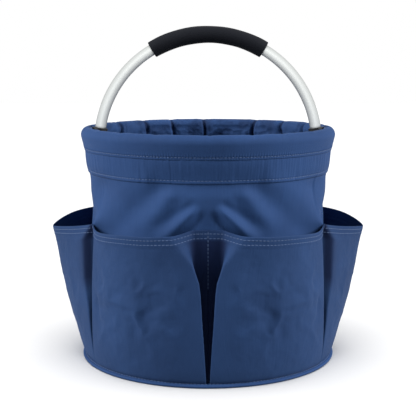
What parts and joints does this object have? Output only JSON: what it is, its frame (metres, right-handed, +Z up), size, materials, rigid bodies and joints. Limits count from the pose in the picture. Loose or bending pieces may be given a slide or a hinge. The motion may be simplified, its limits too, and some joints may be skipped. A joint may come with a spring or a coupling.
{
  "type": "cleaning caddy",
  "caption": "Round cloth cleaning caddy with outer pockets, a hoop-stiffened rim and a tubular carrying bail with a foam grip that folds down.",
  "frame": {"origin": "centre of the underside, on the floor", "axes": "+Z up, +X towards the right-hand hinge, -Y towards the front pockets' seam"},
  "size_m": [0.345, 0.287, 0.3597],
  "materials": {
    "blue_cloth": "woven polyester",
    "dark_cloth": "woven polyester",
    "board": "matte",
    "aluminium": "satin",
    "foam": "closed-cell foam",
    "nylon": "moulded",
    "steel": "plain"
  },
  "bodies": {
    "bag": {"base_panel": "dark_cloth", "base_board": "board", "floor_lining": "dark_cloth", "base_binding": "blue_cloth", "wall_panel_front": "blue_cloth", "wall_panel_back": "blue_cloth", "cuff_band": "blue_cloth", "rim_sleeve": "blue_cloth", "hoop_front": "aluminium", "hoop_back": "aluminium", "pocket_front_left": "blue_cloth", "pocket_front_right": "blue_cloth", "pocket_back_left": "blue_cloth", "pocket_back_right": "blue_cloth", "pocket_side_left": "blue_cloth", "pocket_side_right": "blue_cloth", "hinge_bracket_left": "nylon", "hinge_pin_left": "steel", "hinge_bracket_right": "nylon", "hinge_pin_right": "steel"},
    "bail": {"bail_tube": "aluminium", "foam_grip": "foam", "bail_knuckle_left": "nylon", "bail_knuckle_right": "nylon"}
  },
  "joints": [
    {"name": "bail_fold", "type": "hinge", "parent": "bag", "child": "bail", "pos_m": [0, 0, 0.2385], "axis": [1, 0, 0], "range_deg": [-88, 88]}
  ]
}
